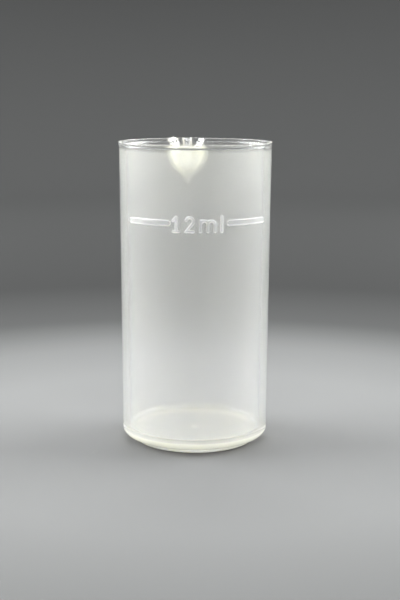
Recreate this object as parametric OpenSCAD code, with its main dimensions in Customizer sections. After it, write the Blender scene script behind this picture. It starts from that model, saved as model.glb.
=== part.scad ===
// Fuel sampler cup: a small tapered cup of milky translucent plastic, with a stepped foot,
// a pouring spout at the back of the rim and a raised 12 ml level mark on the front.
// Origin: on the cup's axis, at the plane that the foot stands on. +Z is up, the level mark
// faces -Y and the spout pours towards +Y, turned a few degrees from straight opposite the mark.

/* [Cup wall] */
// Height from the foot to the edge of the rim
cup_h = 47.5; // [44:0.5:60]
// Outside radius at the rim
rim_r = 11.9; // [11.6:0.1:13]
// Outside radius at the foot, as if the bottom corner were not rounded
base_r = 11.5; // [11:0.1:11.6]
// Thickness of the side wall
wall_t = 1.1; // [0.9:0.05:1.4]

/* [Floor and foot] */
// Thickness of the floor plate
floor_t = 0.9; // [0.7:0.05:1.4]
// Rounding of the bottom corner on the outside
corner_r = 1.3; // [1:0.05:1.5]
// Rounding between the floor and the wall on the inside
inner_corner_r = 1.3; // [0.8:0.05:1.6]
// Outside radius of the standing ring
foot_r = 9.5; // [9:0.1:9.7]
// Height of the standing ring
foot_h = 0.8; // [0.5:0.05:1]
// Width of the standing ring
foot_w = 1.6; // [1.2:0.1:2.5]
// Rounding of the standing ring's lower edges
foot_edge_r = 0.35; // [0.2:0.05:0.4]
// Radius of the gate stub under the middle of the floor
gate_r = 0.9; // [0.5:0.1:1.5]
// Height of the gate stub
gate_h = 0.3; // [0.2:0.05:0.4]

/* [Rim and spout] */
// Height of the thin lip round the rim
lip_h = 0.55; // [0.4:0.05:0.8]
// Thickness of the thin lip
lip_t = 0.4; // [0.3:0.05:0.6]
// How far the lip leans out past the wall
lip_flare = 0.1; // [0.05:0.05:0.2]
// How far below the rim the spout's channel starts
spout_h = 6.3; // [5.5:0.1:8]
// How far the spout stands out past the rim
spout_reach = 1.5; // [1.2:0.1:2]
// Thickness of the spout's wall
spout_t = 0.8; // [0.6:0.05:1]
// Half-angle of the cone that shapes the spout's channel
spout_half_angle = 24.5; // [22:0.5:28]
// Angle that the spout is turned from straight opposite the level mark, anticlockwise from above
spout_turn = 4.5; // [0:0.5:6]

/* [Level mark] */
// Height of the level line above the foot
mark_z = 36; // [25:0.5:37]
// How far the mark stands out from the wall
relief = 0.2; // [0.15:0.05:0.3]
// Height of the two level bars
bar_h = 1; // [0.8:0.1:1.2]
// Angle from the middle of the mark to the near end of each bar
bar_near = 20.6; // [20.4:0.2:24]
// Angle from the middle of the mark to the far end of each bar
bar_far = 59; // [45:1:75]
// Height of the figures
figure_h = 2.6; // [2.4:0.1:2.8]
// Height of the small letter m
letter_m_h = 2.1; // [1.9:0.1:2.2]
// Height of the small letter l
letter_l_h = 2.75; // [2.6:0.05:3]
// Width of the strokes
stroke = 0.5; // [0.4:0.05:0.55]
// Depth of the figures' foot below the level line
figure_drop = 1.45; // [1.3:0.05:1.5]

/* [Hidden] */
$fn = 96;
plastic = [0.84, 0.86, 0.84];
glowing_base = [0.95, 0.95, 0.88];
bright_edge = [0.92, 0.93, 0.9];

floor_z = foot_h + floor_t;         // top of the floor inside the cup
split_z = floor_z + 0.25;           // where the floor node ends and the wall node starts
wall_top_z = cup_h - lip_h;         // where the wall ends and the thin lip starts
channel_z = cup_h - spout_h;        // tip of the spout's channel
channel_y = inner_r(channel_z);
channel_top_y = rim_r + spout_reach - spout_t;
spout_lean = atan((channel_top_y - channel_y) / spout_h) - spout_half_angle;
figure_z = mark_z - figure_drop;    // line that the figures and letters stand on
past = 1;                           // how far a cutting shape runs past the solid it cuts

// Middles of the figures and letters, in degrees round the cup from the middle of the mark
one_at = -16.8;
two_at = -6.6;
m_at = 6.5;
l_at = 17;
// Widths of the figures and of the m
one_w = 1.3;
two_w = 1.6;
m_w = 2.7;

// Radii of the tapered wall at height z
function outer_r(z) = base_r + (rim_r - base_r) * z / cup_h;
function inner_r(z) = outer_r(z) - wall_t;

// Tapered round solid between two heights, larger than the wall's outside by grow
module frustum(z0, z1, grow = 0) {
    translate([0, 0, z0])
        cylinder(h = z1 - z0, r1 = outer_r(z0) + grow, r2 = outer_r(z1) + grow);
}

// Half-section of a tapered body with a rounded bottom corner, from height bottom to height top
module rounded_section(bottom, top, radius, inset) {
    centre_z = bottom + radius;
    centre_x = outer_r(centre_z) - inset - radius;
    translate([0, bottom])
        square([centre_x, top - bottom]);
    translate([centre_x, centre_z])
        circle(radius);
    polygon([[0, centre_z], [outer_r(centre_z) - inset, centre_z],
             [outer_r(top) - inset, top], [0, top]]);
}

// The cup's outside above the foot, as a solid
module outside() {
    rotate_extrude()
        rounded_section(foot_h, cup_h, corner_r, 0);
}

// The cup's inside, as a solid that runs out of the rim
module cavity() {
    rotate_extrude()
        rounded_section(floor_z, cup_h + past, inner_corner_r, wall_t);
}

// Everything between two heights
module slab(z0, z1) {
    side = 2 * (rim_r + spout_reach + past);
    translate([-side / 2, -side / 2, z0])
        cube([side, side, z1 - z0]);
}

// The leaning cone that shapes the spout, larger than the channel by grow
module spout_cone(grow = 0) {
    length = 2 * spout_h;
    back = grow / sin(spout_half_angle);
    rotate([0, 0, spout_turn])
        translate([0, channel_y, channel_z])
            rotate([-spout_lean, 0, 0])
                translate([0, 0, -back])
                    cylinder(h = length, r1 = 0, r2 = length * tan(spout_half_angle));
}

// Tapered side wall, open at the back where the spout leaves it
module cup_wall() {
    color(plastic)
        difference() {
            intersection() {
                outside();
                slab(split_z, wall_top_z);
            }
            cavity();
            spout_cone(spout_t);
        }
}

// Floor plate with the lower part of the rounded corner
module cup_floor() {
    color(glowing_base)
        difference() {
            intersection() {
                outside();
                slab(foot_h, split_z);
            }
            cavity();
        }
}

// Standing ring that steps in under the floor
module foot_ring() {
    inner = foot_r - foot_w;
    color(glowing_base)
        rotate_extrude() {
            translate([inner, foot_edge_r])
                square([foot_w, foot_h - foot_edge_r]);
            translate([inner + foot_edge_r, 0])
                square([foot_w - 2 * foot_edge_r, foot_h]);
            for (x = [inner + foot_edge_r, foot_r - foot_edge_r])
                translate([x, foot_edge_r])
                    circle(foot_edge_r);
        }
}

// Stub where the plastic entered the mould, clear of the table
module gate_stub() {
    color(glowing_base)
        translate([0, 0, foot_h - gate_h])
            cylinder(h = gate_h, r1 = 0.8 * gate_r, r2 = gate_r);
}

// The rim and the spout together, set in from their outside by inset and longer by over at both ends
module lip_body(inset, over = 0) {
    low_r = outer_r(wall_top_z) - inset;
    high_r = outer_r(cup_h) + lip_flare - inset;
    spread = over * (high_r - low_r) / lip_h;
    translate([0, 0, wall_top_z - over])
        cylinder(h = lip_h + 2 * over, r1 = low_r - spread, r2 = high_r + spread);
    intersection() {
        spout_cone(spout_t - inset);
        slab(wall_top_z - over, cup_h + over);
    }
}

// Thin clear lip that runs round the rim and the spout
module rim_lip() {
    color(bright_edge)
        difference() {
            lip_body(0);
            lip_body(lip_t, past);
        }
}

// V-shaped pouring spout: a leaning cone's wall, outside the line of the cup's inside
module pour_spout() {
    color(bright_edge)
        difference() {
            intersection() {
                spout_cone(spout_t);
                slab(split_z, wall_top_z);
            }
            spout_cone();
            cavity();
        }
}

// Skin that every raised mark is cut from: it lies on the wall and is as thick as the relief
module relief_skin() {
    low = mark_z - figure_h;
    high = mark_z + figure_h;
    difference() {
        frustum(low, high, relief);
        frustum(low - past, high + past);
    }
}

// The left level bar, with round ends
module level_bar() {
    reach = wall_t + 2 * past;
    end_angle = asin(bar_h / 2 / outer_r(mark_z));
    near = bar_near + end_angle;
    far = bar_far - end_angle;
    intersection() {
        relief_skin();
        union() {
            rotate([0, 0, -90 - far])
                rotate_extrude(angle = far - near)
                    translate([base_r - past, mark_z - bar_h / 2])
                        square([reach, bar_h]);
            for (a = [near, far])
                rotate([0, 0, -a])
                    translate([0, past - base_r, mark_z])
                        rotate([90, 0, 0])
                            cylinder(h = reach, d = bar_h);
        }
    }
}

module level_bar_left() {
    color(bright_edge)
        level_bar();
}

module level_bar_right() {
    color(bright_edge)
        mirror([1, 0, 0])
            level_bar();
}

// Stands a flat figure on the wall, at an angle round the cup from the middle of the mark
module on_wall(angle) {
    intersection() {
        relief_skin();
        rotate([0, 0, angle])
            translate([0, 0, figure_z])
                rotate([90, 0, 0])
                    linear_extrude(rim_r + past)
                        children();
    }
}

// Straight stroke with round ends
module line_stroke(from, to) {
    run = to - from;
    translate(from)
        rotate(atan2(run[1], run[0])) {
            translate([0, -stroke / 2])
                square([norm(run), stroke]);
            circle(d = stroke);
            translate([norm(run), 0])
                circle(d = stroke);
        }
}

// Curved stroke round a centre, from one angle to another, less than half a turn apart from mid
module arc_stroke(centre, radius, from, to) {
    mid = (from + to) / 2;
    far = 2 * (radius + stroke) / cos((to - from) / 4);
    translate(centre)
        intersection() {
            difference() {
                circle(r = radius + stroke / 2);
                circle(r = radius - stroke / 2);
            }
            polygon([[0, 0], far * [cos(from), sin(from)],
                     far * [cos((from + mid) / 2), sin((from + mid) / 2)],
                     far * [cos(mid), sin(mid)],
                     far * [cos((mid + to) / 2), sin((mid + to) / 2)],
                     far * [cos(to), sin(to)]]);
        }
}

module figure_one() {
    half = stroke / 2;
    stem_x = 0.05;
    color(bright_edge)
        on_wall(one_at) {
            line_stroke([half - one_w / 2, half], [one_w / 2 - half, half]);
            line_stroke([stem_x, half], [stem_x, figure_h - half]);
            line_stroke([half - one_w / 2, figure_h - 0.7], [stem_x, figure_h - half]);
        }
}

module figure_two() {
    half = stroke / 2;
    bowl_r = two_w / 2 - half;
    bowl_y = figure_h - two_w / 2;
    bowl_end = -42;
    color(bright_edge)
        on_wall(two_at) {
            arc_stroke([0, bowl_y], bowl_r, bowl_end, 165);
            line_stroke([bowl_r * cos(bowl_end), bowl_y + bowl_r * sin(bowl_end)], [-bowl_r, half]);
            line_stroke([-bowl_r, half], [bowl_r, half]);
        }
}

module letter_m() {
    half = stroke / 2;
    pitch = (m_w - stroke) / 2;
    arch_r = pitch / 2;
    arch_y = letter_m_h - half - arch_r;
    color(bright_edge)
        on_wall(m_at) {
            line_stroke([-pitch, half], [-pitch, letter_m_h - half]);
            for (i = [0, 1]) {
                arc_stroke([(i - 0.5) * pitch, arch_y], arch_r, 0, 180);
                line_stroke([i * pitch, half], [i * pitch, arch_y]);
            }
        }
}

module letter_l() {
    color(bright_edge)
        on_wall(l_at)
            line_stroke([0, stroke / 2], [0, letter_l_h - stroke / 2]);
}

cup_wall();
cup_floor();
foot_ring();
gate_stub();
rim_lip();
pour_spout();
level_bar_left();
level_bar_right();
figure_one();
figure_two();
letter_m();
letter_l();
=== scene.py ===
"""Looks of the fuel sampler cup: one moulded shell of milky translucent plastic and its raised level mark."""

import math

import bmesh
import bpy
import numpy as np
from mathutils import Matrix, Vector


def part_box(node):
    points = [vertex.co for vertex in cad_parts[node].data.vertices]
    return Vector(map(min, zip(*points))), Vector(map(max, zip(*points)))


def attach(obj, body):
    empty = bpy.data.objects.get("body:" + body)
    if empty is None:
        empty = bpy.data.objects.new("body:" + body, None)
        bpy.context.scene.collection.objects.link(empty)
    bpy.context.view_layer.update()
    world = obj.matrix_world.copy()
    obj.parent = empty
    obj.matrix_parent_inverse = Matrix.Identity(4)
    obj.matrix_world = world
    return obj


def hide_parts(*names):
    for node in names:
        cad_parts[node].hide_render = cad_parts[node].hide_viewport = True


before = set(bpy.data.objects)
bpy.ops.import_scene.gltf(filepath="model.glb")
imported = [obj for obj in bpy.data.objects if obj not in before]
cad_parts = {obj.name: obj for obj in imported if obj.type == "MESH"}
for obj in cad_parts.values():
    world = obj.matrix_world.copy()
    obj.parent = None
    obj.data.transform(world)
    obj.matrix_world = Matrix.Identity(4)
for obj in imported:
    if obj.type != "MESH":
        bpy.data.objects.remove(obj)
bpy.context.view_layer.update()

MM = 0.001

# ---------------------------------------------------------------- sizes, in metres, from the frame

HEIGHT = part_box("rim_lip")[1].z
WALL_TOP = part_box("rim_lip")[0].z
RIM_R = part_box("cup_wall")[1].x
LIP_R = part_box("rim_lip")[1].x
FOOT_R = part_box("foot_ring")[1].x
FOOT_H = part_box("foot_ring")[1].z
GATE_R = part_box("gate_stub")[1].x
GATE_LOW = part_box("gate_stub")[0].z
CHANNEL_OUTER_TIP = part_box("pour_spout")[0].z
MARK_Z = (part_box("level_bar_left")[0].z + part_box("level_bar_left")[1].z) / 2
BAR_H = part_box("level_bar_left")[1].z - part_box("level_bar_left")[0].z
FIGURE_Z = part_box("figure_two")[0].z
FIGURE_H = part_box("figure_two")[1].z - FIGURE_Z
LETTER_M_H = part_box("letter_m")[1].z - FIGURE_Z
LETTER_L_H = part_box("letter_l")[1].z - FIGURE_Z

BASE_R = 11.5 * MM
WALL_T = 1.1 * MM
FLOOR_T = 0.9 * MM
FLOOR_Z = FOOT_H + FLOOR_T
CORNER_R = 1.3 * MM
INNER_CORNER_R = 1.3 * MM
FOOT_W = 1.6 * MM
FOOT_EDGE_R = 0.35 * MM
LIP_T = 0.4 * MM
SPOUT_T = 0.8 * MM
SPOUT_REACH = 1.5 * MM
SPOUT_H = 6.3 * MM
SPOUT_HALF_ANGLE = math.radians(24.5)
SPOUT_TURN = math.radians(4.5)
RELIEF = 0.2 * MM
STROKE = 0.5 * MM

# ---------------------------------------------------------------- the moulding's small marks, and the spout's painted highlights

SEED = 12
RIPPLE = 0.03 * MM
RAGGED = 0.05 * MM
BURR_H = 0.3 * MM
BURR_AT = math.radians(9.5)
BURR_W = math.radians(0.8)
# half width of the spout's painted highlight bands
SPOUT_HIGHLIGHT_HALF_W = 2.8 * MM
STREAKS_AT = np.radians((6.3, 1.7, -3.9))
STREAK_W = math.radians(0.7)


def outer_r(z):
    """Outside radius of the tapered wall at height z."""
    return BASE_R + (RIM_R - BASE_R) * z / WALL_TOP


def inner_r(z):
    return outer_r(z) - WALL_T


# ---------------------------------------------------------------- camera, lights and floor

CAMERA_DISTANCE = 197.6 * MM
CAMERA_HEIGHT = 57.5 * MM
CAMERA_SIDE = 0.8 * MM
CAMERA_AZIMUTH = math.radians(-2.9)
CAMERA_PITCH = math.radians(10.06)
CAMERA_ROLL = math.radians(0.19)
CAMERA_LENS = 75.6

COOL = (0.978, 1.0, 0.995)


def make_camera():
    data = bpy.data.cameras.new("camera")
    data.lens = CAMERA_LENS
    data.sensor_width = 36
    data.clip_start = 0.005
    data.clip_end = 20
    camera = bpy.data.objects.new("camera", data)
    bpy.context.scene.collection.objects.link(camera)
    camera.matrix_world = (
        Matrix.Rotation(CAMERA_AZIMUTH, 4, "Z")
        @ Matrix.Translation((CAMERA_SIDE, -CAMERA_DISTANCE, CAMERA_HEIGHT))
        @ Matrix.Rotation(math.pi / 2 - CAMERA_PITCH, 4, "X")
        @ Matrix.Rotation(CAMERA_ROLL, 4, "Z")
    )
    bpy.context.scene.camera = camera


def aimed_light(name, kind, power, place, target):
    """A light of this kind at place, facing target, as (object, data)."""
    data = bpy.data.lights.new(name, kind)
    data.energy = power
    data.color = COOL
    light = bpy.data.objects.new(name, data)
    bpy.context.scene.collection.objects.link(light)
    away = Vector(target) - Vector(place)
    light.matrix_world = Matrix.Translation(place) @ away.to_track_quat("-Z", "Y").to_matrix().to_4x4()
    return light, data


def softbox(name, place, size, radiance):
    """A rectangular soft light facing the middle of the cup, this bright for its size."""
    power = radiance * math.pi * size[0] * size[1]
    light, data = aimed_light(name, "AREA", power, place, (0, 0, HEIGHT / 2))
    data.shape = "RECTANGLE"
    data.size, data.size_y = size
    light.visible_camera = False


def make_lights():
    """Soft light from above, from behind, from both sides and from high in front."""
    softbox("top_softbox", (0.0, 0.10, 0.42), (0.30, 0.30), 4.5)
    softbox("back_softbox", (0.0, 0.45, 0.32), (0.40, 0.14), 10.0)
    softbox("front_softbox", (0.0, -0.45, 0.38), (0.40, 0.20), 8.0)
    for name, side in (("left_softbox", -1), ("right_softbox", 1)):
        softbox(name, (side * 0.36, 0.08, 0.17), (0.36, 0.18), 21.0)


def light_foot(piece):
    """A low narrow spot in front, for this piece alone, that only reaches its foot and bottom corner."""
    light, data = aimed_light("foot_spot", "SPOT", 8.0, (0, -0.25, 0.006), (0, -0.0115, -0.040))
    data.spot_size = math.radians(20.5)
    data.spot_blend = 0.25
    data.shadow_soft_size = 0.003
    lit = bpy.data.collections.new("lit_by_foot_spot")
    lit.objects.link(piece)
    light.light_linking.receiver_collection = lit


def make_world():
    world = bpy.data.worlds.new("studio")
    bpy.context.scene.world = world
    world.use_nodes = True
    background = world.node_tree.nodes["Background"]
    background.inputs["Color"].default_value = (*COOL, 1)
    background.inputs["Strength"].default_value = 0.2
    bpy.context.scene.view_settings.view_transform = "Standard"


def make_floor():
    """A sheet that turns up all round into a grey backdrop; its colour paints a pale pool of light round the
    cup that darkens with distance.
    """
    flat_r, bend_r, sides = 0.40, 0.20, 96
    outline = [(r, 0.0) for r in np.linspace(0.001, flat_r, 20)]
    for a in np.linspace(0, math.pi / 2, 17)[1:]:
        outline.append((flat_r + bend_r * math.sin(a), bend_r - bend_r * math.cos(a)))
    turns = np.linspace(0, 2 * math.pi, sides + 1)[:-1]
    points = [(r * math.cos(t), r * math.sin(t), z) for r, z in outline for t in turns]
    faces = [tuple(range(sides))]
    for low in range(0, (len(outline) - 1) * sides, sides):
        for j in range(sides):
            k = (j + 1) % sides
            faces.append((low + j, low + k, low + sides + k, low + sides + j))
    floor = mesh_object("floor", points, faces)
    floor.data.materials.append(floor_material())


# ---------------------------------------------------------------- materials

HAZE = 200  # scattering density of the plain wall, per metre


def new_material(name):
    """An empty material with a Principled shader, as (material, node tree, shader)."""
    material = bpy.data.materials.new(name)
    material.use_nodes = True
    tree = material.node_tree
    return material, tree, tree.nodes["Principled BSDF"]


def node(tree, kind, values=None, **links):
    """A node of this kind, with input values by name or number and links to other sockets."""
    made = tree.nodes.new(kind)
    for key, value in (values or {}).items():
        made.inputs[key].default_value = value
    for key, source in links.items():
        tree.links.new(source, made.inputs[key.replace("_", " ")])
    return made


def noise(tree, scale, detail=4, rough=0.5, stretch=(1, 1, 1)):
    """Noise in the piece's own space, in features of about 1/scale metres."""
    where = tree.nodes.new("ShaderNodeTexCoord")
    mapping = node(tree, "ShaderNodeMapping", {"Scale": stretch})
    tree.links.new(where.outputs["Object"], mapping.inputs["Vector"])
    made = node(tree, "ShaderNodeTexNoise", {"Scale": scale, "Detail": detail, "Roughness": rough})
    tree.links.new(mapping.outputs["Vector"], made.inputs["Vector"])
    return made.outputs["Fac"]


def ramp(tree, source, stops):
    """Colour ramp over source; stops are (position, colour or grey)."""
    made = tree.nodes.new("ShaderNodeValToRGB")
    points = made.color_ramp.elements
    while len(points) < len(stops):
        points.new(0.5)
    for point, (place, colour) in zip(points, stops):
        point.position = place
        point.color = (colour,) * 3 + (1,) if isinstance(colour, (int, float)) else (*colour, 1)
    tree.links.new(source, made.inputs["Fac"])
    return made.outputs["Color"]


def height_share(tree):
    """0 at the foot and 1 at the rim."""
    where = tree.nodes.new("ShaderNodeTexCoord")
    split = node(tree, "ShaderNodeSeparateXYZ", Vector=where.outputs["Object"])
    return math_node(tree, "DIVIDE", split.outputs["Z"], HEIGHT)


def floor_material():
    """Pale near the cup and falling off to grey far from it: a painted pool of light and its painted falloff.
    """
    material, tree, shader = new_material("floor_with_painted_light_pool")
    where = tree.nodes.new("ShaderNodeTexCoord")
    away = tree.nodes.new("ShaderNodeVectorMath")
    away.operation = "LENGTH"
    tree.links.new(where.outputs["Object"], away.inputs[0])
    # painted light: pale under and near the cup, painted falloff to dark grey further out, then grey up the
    # backdrop
    painted_light_pool_greys = [(0.045, 0.15), (0.07, 0.12), (0.10, 0.05), (0.15, 0.03), (0.62, 0.07)]
    tree.links.new(ramp(tree, away.outputs["Value"], painted_light_pool_greys), shader.inputs["Base Color"])
    shader.inputs["Roughness"].default_value = 0.9
    shader.inputs["Specular IOR Level"].default_value = 0.05
    return material


def math_node(tree, operation, a, b, c=0.0):
    """Result of a math operation on sockets or plain numbers."""
    made = tree.nodes.new("ShaderNodeMath")
    made.operation = operation
    for slot, value in enumerate((a, b, c)):
        if isinstance(value, (int, float)):
            made.inputs[slot].default_value = value
        else:
            tree.links.new(value, made.inputs[slot])
    return made.outputs[0]


def mesh_milk_and_painted_light(tree):
    """How milky the mesh says the plastic is here, because it is thick and, on the spout, the rim edge and
    the mark's edges, as a painted highlight: see set_milk_and_painted_light.
    """
    made = tree.nodes.new("ShaderNodeAttribute")
    made.attribute_name = "milk_and_painted_light"
    return made.outputs["Fac"]


def specks(tree, scale, size, share):
    """1 in round specks of this radius in metres, in a share of the cells of 1/scale metres."""
    where = tree.nodes.new("ShaderNodeTexCoord")
    cells = node(tree, "ShaderNodeTexVoronoi", {"Scale": scale}, Vector=where.outputs["Object"])
    near = math_node(tree, "LESS_THAN", cells.outputs["Distance"], size * scale)
    split = tree.nodes.new("ShaderNodeSeparateColor")
    tree.links.new(cells.outputs["Color"], split.inputs[0])
    return math_node(tree, "MULTIPLY", near, math_node(tree, "LESS_THAN", split.outputs[0], share))


def wall_haze(tree):
    """Density of the haze in the plastic by height: most in the foot, less in the wall, least in the lip."""
    foot_to, lip_from, change = 0.042, 0.974, 0.008
    wall, lip = 0.12, 0.012
    stops = [(foot_to, 1.0), (foot_to + change, wall), (lip_from, wall), (lip_from + change, lip)]
    return math_node(tree, "MULTIPLY", ramp(tree, height_share(tree), stops), HAZE / wall)


def plastic_material(name, clear, clear_where_milkiest, roughness, reach, cream):
    """Uncoloured polypropylene: part clear and part milky on its surface, and hazy through its thickness.

    clear is the share of light that passes the surface unscattered, by height, and clear_where_milkiest the
    share left where the mesh's glow is 1, both in thick plastic and in painted highlights. There the light
    also scatters under the surface, over a distance of reach, and takes on the cream colour.
    """
    material, tree, shader = new_material(name)
    shader.inputs["IOR"].default_value = 1.49
    milk_and_painted_light = mesh_milk_and_painted_light(tree)
    cloud = math_node(tree, "MULTIPLY", noise(tree, 420, 5, 0.6, (1, 1, 0.06)), 0.06)
    share = math_node(tree, "SUBTRACT", ramp(tree, height_share(tree), clear), cloud)
    # milky: thick plastic, painted highlights on the spout, rim edge and mark edges, and random specks
    milky = math_node(tree, "MAXIMUM", milk_and_painted_light, specks(tree, 350, 0.09 * MM, 0.02))
    lost = math_node(tree, "SUBTRACT", clear_where_milkiest, share)
    share = math_node(tree, "MULTIPLY_ADD", lost, milky, share)
    tree.links.new(share, shader.inputs["Transmission Weight"])
    shader.inputs["Subsurface Radius"].default_value = (1.0, 1.0, 0.9)
    shader.inputs["Subsurface Scale"].default_value = reach
    tree.links.new(ramp(tree, milk_and_painted_light, [(0.05, 0), (0.25, 1)]), shader.inputs["Subsurface Weight"])
    colour = ramp(tree, milky, [(0.0, (0.985, 0.985, 0.985)), (0.35, cream)])
    tree.links.new(colour, shader.inputs["Base Color"])
    rough = ramp(tree, noise(tree, 900, 6, 0.65), [(0.3, roughness * 0.85), (0.7, roughness * 1.2)])
    tree.links.new(rough, shader.inputs["Roughness"])
    flow = noise(tree, 500, 3, 0.5, (1, 1, 0.04))
    bump = node(tree, "ShaderNodeBump", {"Strength": 0.5, "Distance": 0.02 * MM}, Height=flow)
    tree.links.new(bump.outputs["Normal"], shader.inputs["Normal"])
    haze = node(tree, "ShaderNodeVolumeScatter", {"Anisotropy": 0.55, "Color": (1.0, 0.99, 0.86, 1)})
    tree.links.new(wall_haze(tree), haze.inputs["Density"])
    tree.links.new(haze.outputs["Volume"], tree.nodes["Material Output"].inputs["Volume"])
    return material


# ---------------------------------------------------------------- the moulded shell


def allow_scattering():
    """Lets light scatter many times inside the wall."""
    cycles = bpy.context.scene.cycles
    cycles.volume_bounces = 16
    cycles.max_bounces = 32
    cycles.transmission_bounces = 24


def arc(centre, radius, start, end, steps):
    """Points (r, z) on an arc, angles in degrees from +r towards +z."""
    return [
        (centre[0] + radius * math.cos(math.radians(a)), centre[1] + radius * math.sin(math.radians(a)))
        for a in np.linspace(start, end, steps)
    ]


def graded(start, end, steps):
    """steps numbers from start to end, without start."""
    return list(np.linspace(start, end, steps + 1)[1:])


def shell_profile():
    """The shell's half-section as rows (r, z, side), from the axis under the floor round to the axis inside.

    side says what the spout does to the row: "out" and "in" follow the spout's outside and channel,
    "lip" follows the inside of the thin lip, and None stays round.
    """
    rows = [(0.0, GATE_LOW, None)]
    rows += [(r, GATE_LOW, None) for r in (0.4 * GATE_R, 0.7 * GATE_R, 0.78 * GATE_R)]
    rows += [(0.86 * GATE_R, GATE_LOW + 0.06 * MM, None), (0.97 * GATE_R, FOOT_H - 0.05 * MM, None)]
    ring_inner = FOOT_R - FOOT_W
    rows += [(r, FOOT_H, None) for r in (1.06 * GATE_R, 1.3 * GATE_R, 2.5 * MM, 4 * MM, 5.5 * MM, 7 * MM)]
    rows += [(ring_inner - 0.18 * MM, FOOT_H, None), (ring_inner - 0.06 * MM, FOOT_H - 0.04 * MM, None)]
    rows += [(ring_inner, FOOT_H - 0.14 * MM, None)]
    edge = FOOT_EDGE_R
    rows += [(r, z, None) for r, z in arc((ring_inner + edge, edge), edge, 180, 270, 6)]
    rows += [(r, z, None) for r, z in arc((FOOT_R - edge, edge), edge, 270, 360, 7)]
    rows += [(FOOT_R, FOOT_H - 0.2 * MM, None), (FOOT_R + 0.02 * MM, FOOT_H - 0.08 * MM, None)]
    rows += [(FOOT_R + 0.12 * MM, FOOT_H - 0.01 * MM, None), (FOOT_R + 0.3 * MM, FOOT_H, None)]
    corner_z = FOOT_H + CORNER_R
    corner = (outer_r(corner_z) - CORNER_R, corner_z)
    rows += [(r, z, None) for r, z in arc(corner, CORNER_R, 270, 360, 12)]
    spout_low = CHANNEL_OUTER_TIP - 0.6 * MM
    wall_z = graded(corner_z, spout_low, 30) + graded(spout_low, WALL_TOP - 0.1 * MM, 46)
    rows += [(outer_r(z), z, "out") for z in wall_z]
    lean = LIP_R - outer_r(WALL_TOP)
    bead = ((0.06, 0.3), (0.15, 0.75), (0.24, 1.0), (0.3, 1.0), (0.6, 1.0))
    rows += [(outer_r(WALL_TOP) + lean * out, WALL_TOP + (HEIGHT - WALL_TOP) * up, "out") for up, out in bead]
    rows += [(LIP_R, HEIGHT - down * MM, "out") for down in (0.12, 0.08, 0.05)]
    rows += [(LIP_R - into * MM, HEIGHT, "out") for into in (0.05, 0.08)]
    lip_in, wall_in = LIP_R - LIP_T, inner_r(WALL_TOP)
    rows += [(lip_in + into * MM, HEIGHT, "lip") for into in (0.08, 0.05)]
    rows += [(lip_in, HEIGHT - down * MM, "lip") for down in (0.05, 0.08, 0.12)]
    rows += [(lip_in, WALL_TOP + up * MM, "lip") for up in (0.2, 0.1, 0.05)]
    rows += [(lip_in - into * MM, WALL_TOP, "lip") for into in (0.05, 0.08)]
    rows += [(wall_in + into * MM, WALL_TOP, "in") for into in (0.09, 0.06)]
    rows += [(wall_in, WALL_TOP - down * MM, "in") for down in (0.06, 0.09)]
    inner_z = FLOOR_Z + INNER_CORNER_R
    channel_low = HEIGHT - SPOUT_H - 0.6 * MM
    down = graded(WALL_TOP - 0.09 * MM, channel_low, 46) + graded(channel_low, inner_z, 30)
    rows += [(inner_r(z), z, "in") for z in down]
    inner_corner = (inner_r(inner_z) - INNER_CORNER_R, inner_z)
    rows += [(r, z, None) for r, z in arc(inner_corner, INNER_CORNER_R, 0, -90, 10)[1:]]
    rows += [(r, FLOOR_Z, None) for r in (8.9 * MM, 8 * MM, 6.5 * MM, 5 * MM, 3.5 * MM, 2 * MM, 1 * MM)]
    rows += [(0.0, FLOOR_Z, None)]
    return rows


def angles():
    """Angles round the cup from the middle of the spout, denser over the spout."""
    dense = np.arange(-26, 26, 0.5)
    wide = np.arange(26, 334, 1.0)
    return np.radians(np.concatenate([dense, wide]))


def spout_radius(angle, z, grow):
    """Where a level line out from the axis leaves the spout's leaning cone, or 0 where it misses it."""
    channel_z = HEIGHT - SPOUT_H
    channel_y = inner_r(channel_z)
    top_y = RIM_R + SPOUT_REACH - SPOUT_T
    lean = math.atan((top_y - channel_y) / SPOUT_H) - SPOUT_HALF_ANGLE
    back = grow / math.sin(SPOUT_HALF_ANGLE)
    apex_y = channel_y - back * math.sin(lean)
    apex_z = channel_z - back * math.cos(lean)
    c, k = np.cos(angle), math.cos(SPOUT_HALF_ANGLE) ** 2
    along = -apex_y * math.sin(lean) + (z - apex_z) * math.cos(lean)
    a = (c * math.sin(lean)) ** 2 - k
    b = 2 * c * math.sin(lean) * along + 2 * k * c * apex_y
    d = along**2 - k * (apex_y**2 + (z - apex_z) ** 2)
    inside = b * b - 4 * a * d
    root = (-b - np.sqrt(np.maximum(inside, 0))) / (2 * a)
    ahead = root * c * math.sin(lean) + along
    return np.where((inside > 0) & (ahead > 0) & (c > 0), root, 0)


def soft_max(a, b, blend):
    """The larger of a and b, rounded over about blend where they cross."""
    gap = np.maximum(blend - np.abs(a - b), 0) / blend
    return np.maximum(a, b) + gap * gap * blend / 4


def wave(angle, rng, count, low, high):
    """A closed random wave of angle, of unit height, with periods from low to high times round."""
    total = np.zeros_like(angle)
    for k in rng.integers(low, high, count):
        total += rng.normal() * np.sin(k * angle + rng.uniform(0, 2 * math.pi))
    return total / math.sqrt(count / 2) / 2


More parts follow.
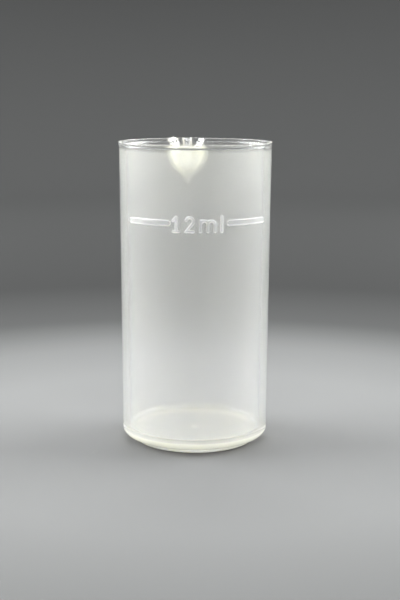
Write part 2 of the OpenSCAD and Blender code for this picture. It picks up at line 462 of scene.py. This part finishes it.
def make_shell():
    rng = np.random.default_rng(SEED)
    rows, around = shell_profile(), angles()
    ripple = wave(around, rng, 6, 2, 7) * RIPPLE
    ragged = wave(around, rng, 60, 20, 170) * RAGGED
    burr = BURR_H * np.exp(-(((around - BURR_AT) / BURR_W) ** 2))
    past_channel = {"out": SPOUT_T, "lip": SPOUT_T - LIP_T, "in": 0.0}
    points, rings, milk_and_painted_light = [], [], []
    for r, z, side in rows:
        if r == 0:
            rings.append([len(points)])
            points.append((0, 0, z))
            milk_and_painted_light.append(1.0)
            continue
        radius = np.full_like(around, r)
        spout_streaks_and_highlight = np.zeros_like(around)
        if side:
            radius = soft_max(radius, spout_radius(around, z, past_channel[side]), 0.25 * MM)
            # painted highlight on the spout, with the lip's real milky streaks
            spout_streaks_and_highlight = spout_milk_and_painted_light(around, z)
        inside = z >= FLOOR_Z and r < outer_r(z) - WALL_T / 2
        depth, fade, most = (1.0, 1.0, 0.5) if inside else (0.6, 0.4, 0.35)
        at_base = most * smooth_step((FLOOR_Z + depth * MM - z) / (fade * MM))
        # painted highlight: the rim's top edge is made unevenly milky cream to paint its bright line; the
        # milkier base is thick plastic
        uneven = 0.3 + 0.2 * np.sin(ragged / MM * 60)
        rim_edge_painted_highlight = smooth_step((z - HEIGHT + 0.09 * MM) / (0.09 * MM)) * uneven
        milk_and_painted_light += list(np.maximum(np.maximum(spout_streaks_and_highlight, at_base), rim_edge_painted_highlight))
        edge = np.clip((z - WALL_TOP) / (HEIGHT - WALL_TOP), 0, 1) ** 10
        radius = radius + ripple * z / HEIGHT + 0.3 * ragged * edge
        height = z + (np.roll(ragged, 7) * 1.2 + burr) * edge
        rings.append(list(range(len(points), len(points) + len(around))))
        turned = around + SPOUT_TURN
        points += list(zip(-radius * np.sin(turned), radius * np.cos(turned), height))
    faces = []
    for low, high in zip(rings, rings[1:]):
        n = max(len(low), len(high))
        for j in range(n):
            k = (j + 1) % n
            if len(low) == 1:
                faces.append((low[0], high[k], high[j]))
            elif len(high) == 1:
                faces.append((low[j], low[k], high[0]))
            else:
                faces.append((low[j], low[k], high[k], high[j]))
    shell = mesh_object("cup_shell", points, faces)
    clear = [(0.02, 0.8), (0.07, 0.96), (0.93, 0.97), (0.985, 1.0)]
    cream = (1.0, 0.945, 0.8)
    shell.data.materials.append(plastic_material("milky_polypropylene", clear, 0.03, 0.12, 1.8 * MM, cream))
    set_milk_and_painted_light(shell, milk_and_painted_light)
    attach(shell, "root")
    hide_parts("cup_wall", "cup_floor", "foot_ring", "gate_stub", "rim_lip", "pour_spout")
    return shell


def spout_milk_and_painted_light(angle, z):
    """How milky the spout is: two soft bands along its folds and less in its middle, fading to its tip; this
    extra milky cream is a painted highlight of the light the spout gathers.

    In the thin lip only a few narrow streaks are milky.
    """
    tip_z = HEIGHT - SPOUT_H
    share = np.clip((z - tip_z) / (HEIGHT - tip_z), 0, 1)
    along = np.abs(angle) * RIM_R
    arm_at = SPOUT_HIGHLIGHT_HALF_W * (1 - (1 - share) ** 3)
    near_rim = smooth_step((z - WALL_TOP + 1.1 * MM) / (0.6 * MM))
    arm_w = (0.7 - 0.5 * near_rim) * MM
    # painted highlight: milky cream bands along the spout's folds, and a fainter milky middle, paint the
    # light the spout gathers
    painted_highlight_arms = np.exp(-(((along - arm_at) / arm_w) ** 2))
    painted_light_middle = (0.9 - 0.3 * share) * smooth_step((arm_at - along) / (0.6 * MM) + 0.5) * (1 - near_rim)
    towards_tip = 0.25 + 0.75 * smooth_step(share / 0.45)
    below_tip = np.exp(-((min(z - tip_z, 0) / (1.0 * MM)) ** 2)) * towards_tip
    streaks = sum(np.exp(-(((angle - at) / STREAK_W) ** 2)) for at in STREAKS_AT) * 0.6 * near_rim
    return np.clip(np.maximum(np.maximum(painted_highlight_arms * (1 - 0.7 * near_rim), streaks), painted_light_middle), 0, 1) * below_tip


def smooth_step(x):
    x = np.clip(x, 0, 1)
    return x * x * (3 - 2 * x)


def set_milk_and_painted_light(piece, milk_and_painted_light):
    """Says at each vertex how milky the plastic is: where it is thick, and where milky cream paints a
    highlight on the spout, the rim edge and the mark's edges.
    """
    layer = piece.data.attributes.new("milk_and_painted_light", "FLOAT", "POINT")
    layer.data.foreach_set("value", np.array(milk_and_painted_light, float))


def mesh_object(name, points, faces):
    """A smooth-shaded mesh object with its normals outwards."""
    mesh = bpy.data.meshes.new(name)
    mesh.from_pydata(points, [], faces)
    shape = bmesh.new()
    shape.from_mesh(mesh)
    bmesh.ops.recalc_face_normals(shape, faces=shape.faces)
    shape.to_mesh(mesh)
    shape.free()
    mesh.polygons.foreach_set("use_smooth", [True] * len(mesh.polygons))
    made = bpy.data.objects.new(name, mesh)
    bpy.context.scene.collection.objects.link(made)
    return made


# ---------------------------------------------------------------- the raised level mark

MARK_R = outer_r(MARK_Z)


def line_distance(p, start, end):
    """Distance of points p from the middle line of a straight stroke."""
    start, run = np.array(start), np.array(end) - np.array(start)
    share = np.clip(((p - start) @ run) / max(run @ run, 1e-12), 0, 1)
    return np.linalg.norm(p - start - share[..., None] * run, axis=-1)


def arc_distance(p, centre, radius, start, end):
    """Distance from the middle line of a curved stroke, angles in degrees."""
    away = p - np.array(centre)
    start, end = math.radians(start), math.radians(end)
    angle = np.mod(np.arctan2(away[..., 1], away[..., 0]) - start, 2 * math.pi) + start
    on = np.abs(np.linalg.norm(away, axis=-1) - radius)
    ends = [np.array(centre) + radius * np.array([math.cos(a), math.sin(a)]) for a in (start, end)]
    off = np.minimum(*[np.linalg.norm(p - e, axis=-1) for e in ends])
    return np.where(angle <= end, on, off)


def raised(node_name, distance, low, high, half_width, milk):
    """A raised mark on the wall: all points nearer to its strokes than half_width, with a rounded edge.

    Places are (along the wall, height), from the middle of the mark and from the foot. milk is how milky the
    mark's flat middle is; its edge is made milkier as a painted highlight, most of all along its lower side.
    """
    pitch, edge, sunk, step = 0.045 * MM, 0.13 * MM, 0.05 * MM, 0.001 * MM
    xs = np.arange(low[0] - pitch, high[0] + 2 * pitch, pitch)
    ys = np.arange(low[1] - pitch, high[1] + 2 * pitch, pitch)
    grid = np.stack(np.meshgrid(xs, ys, indexing="ij"), axis=-1)
    inside = distance(grid) < half_width
    cells = inside[:-1, :-1] | inside[1:, :-1] | inside[:-1, 1:] | inside[1:, 1:]
    used = np.zeros(inside.shape, bool)
    for di in (0, 1):
        for dj in (0, 1):
            used[di : di + cells.shape[0], dj : dj + cells.shape[1]] |= cells
    flat = grid.copy()
    for _ in range(3):
        here = distance(flat) - half_width
        slope = np.stack(
            [
                distance(flat + [step, 0]) - distance(flat - [step, 0]),
                distance(flat + [0, step]) - distance(flat - [0, step]),
            ],
            axis=-1,
        ) / (2 * step)
        flat = flat - np.where(here > 0, here, 0)[..., None] * slope
    depth = np.clip((half_width - distance(flat)) / edge, 0, 1)
    rise = RELIEF * np.sqrt(1 - (1 - depth) ** 2)
    ids = -np.ones(inside.shape, int)
    ids[used] = np.arange(used.sum())
    top = on_wall(flat[used], rise[used])
    bottom = on_wall(flat[used], np.full(used.sum(), -sunk))
    count = len(top)
    i, j = np.nonzero(cells)
    quads = np.stack([ids[i, j], ids[i + 1, j], ids[i + 1, j + 1], ids[i, j + 1]], axis=-1)
    faces = [tuple(int(v) for v in q) for q in quads]
    edges = {(a, b): True for q in faces for a, b in zip(q, q[1:] + q[:1])}
    faces_low = [tuple(v + count for v in reversed(q)) for q in faces]
    sides = [(b, a, a + count, b + count) for a, b in edges if (b, a) not in edges]
    made = mesh_object(node_name + "_bead", np.vstack([top, bottom]).tolist(), faces + faces_low + sides)
    made.data.materials.append(mark_plastic)
    # painted highlight: a milky cream band along the mark's edge, wider and milkier along its lower side
    under = np.maximum(distance(flat - [0, step]) - distance(flat + [0, step]), 0) / (2 * step)
    band = (0.12 + 0.27 * under) * MM
    edge_painted_highlight = 1 - smooth_step((half_width - distance(flat)) / band)
    milk_and_painted_light = milk + (0.7 + 0.3 * under - milk) * edge_painted_highlight
    set_milk_and_painted_light(made, np.concatenate([milk_and_painted_light[used], np.zeros(count)]))
    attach(made, "root")
    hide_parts(node_name)


def on_wall(flat, rise):
    """Points at places (along the wall, height) and this far out from it; the mark's middle faces -Y."""
    angle = flat[:, 0] / MARK_R
    radius = outer_r(flat[:, 1]) + rise
    return np.stack([radius * np.sin(angle), -radius * np.cos(angle), flat[:, 1]], axis=-1)


def make_bar(name, side):
    """A level bar with round ends, as long as its CAD node."""
    low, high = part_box(name)
    near = min(abs(low.x), abs(high.x)) / MARK_R
    far = max(abs(low.x), abs(high.x)) / MARK_R
    half = BAR_H / 2
    start = (side * (math.asin(near) * MARK_R + half), MARK_Z)
    end = (side * (math.asin(min(far / (1 + RELIEF / MARK_R), 1)) * MARK_R - half), MARK_Z)
    low = (min(start[0], end[0]) - half, MARK_Z - half)
    high = (max(start[0], end[0]) + half, MARK_Z + half)
    raised(name, lambda p: line_distance(p, start, end), low, high, half, 0.08)


def make_figures():
    """The figures 12 and the letters ml, each from its own strokes."""
    half = STROKE / 2
    foot = FIGURE_Z + half
    head = FIGURE_Z + FIGURE_H - half

    def placed(name, degrees, width, height, strokes):
        x = math.radians(degrees) * MARK_R
        low = (x - width / 2, FIGURE_Z)
        high = (x + width / 2, FIGURE_Z + height)
        raised(name, lambda p: np.min([s(p - [x, 0]) for s in strokes], axis=0), low, high, half, 0.36)

    def line(x0, y0, x1, y1):
        return lambda p: line_distance(p, (x0, y0), (x1, y1))

    def curve(x, y, radius, start, end):
        return lambda p: arc_distance(p, (x, y), radius, start, end)

    one_w, two_w, m_w = 1.3 * MM, 1.6 * MM, 2.7 * MM
    stem = 0.05 * MM
    left, right = half - one_w / 2, one_w / 2 - half
    placed("figure_one", -16.8, one_w, FIGURE_H, [
        line(left, foot, right, foot),
        line(stem, foot, stem, head),
        line(left, FIGURE_Z + FIGURE_H - 0.7 * MM, stem, head),
    ])
    bowl, bowl_end = two_w / 2 - half, -42
    bowl_z = FIGURE_Z + FIGURE_H - two_w / 2
    turn_x = bowl * math.cos(math.radians(bowl_end))
    turn_z = bowl_z + bowl * math.sin(math.radians(bowl_end))
    placed("figure_two", -6.6, two_w, FIGURE_H, [
        curve(0, bowl_z, bowl, bowl_end, 165),
        line(turn_x, turn_z, -bowl, foot),
        line(-bowl, foot, bowl, foot),
    ])
    pitch = (m_w - STROKE) / 2
    arch_z = FIGURE_Z + LETTER_M_H - half - pitch / 2
    placed("letter_m", 6.5, m_w, LETTER_M_H, [
        line(-pitch, foot, -pitch, FIGURE_Z + LETTER_M_H - half),
        curve(-pitch / 2, arch_z, pitch / 2, 0, 180),
        curve(pitch / 2, arch_z, pitch / 2, 0, 180),
        line(0, foot, 0, arch_z),
        line(pitch, foot, pitch, arch_z),
    ])
    placed("letter_l", 17, STROKE, LETTER_L_H, [line(0, foot, 0, FIGURE_Z + LETTER_L_H - half)])


# ---------------------------------------------------------------- build

allow_scattering()
make_camera()
make_world()
make_lights()
make_floor()
light_foot(make_shell())
mark_clear = [(0.0, 0.85), (1.0, 0.85)]
mark_cream = (1.0, 0.98, 0.92)
mark_plastic = plastic_material("raised_mark_polypropylene", mark_clear, 0.0, 0.08, 0.3 * MM, mark_cream)
make_bar("level_bar_left", -1)
make_bar("level_bar_right", 1)
make_figures()
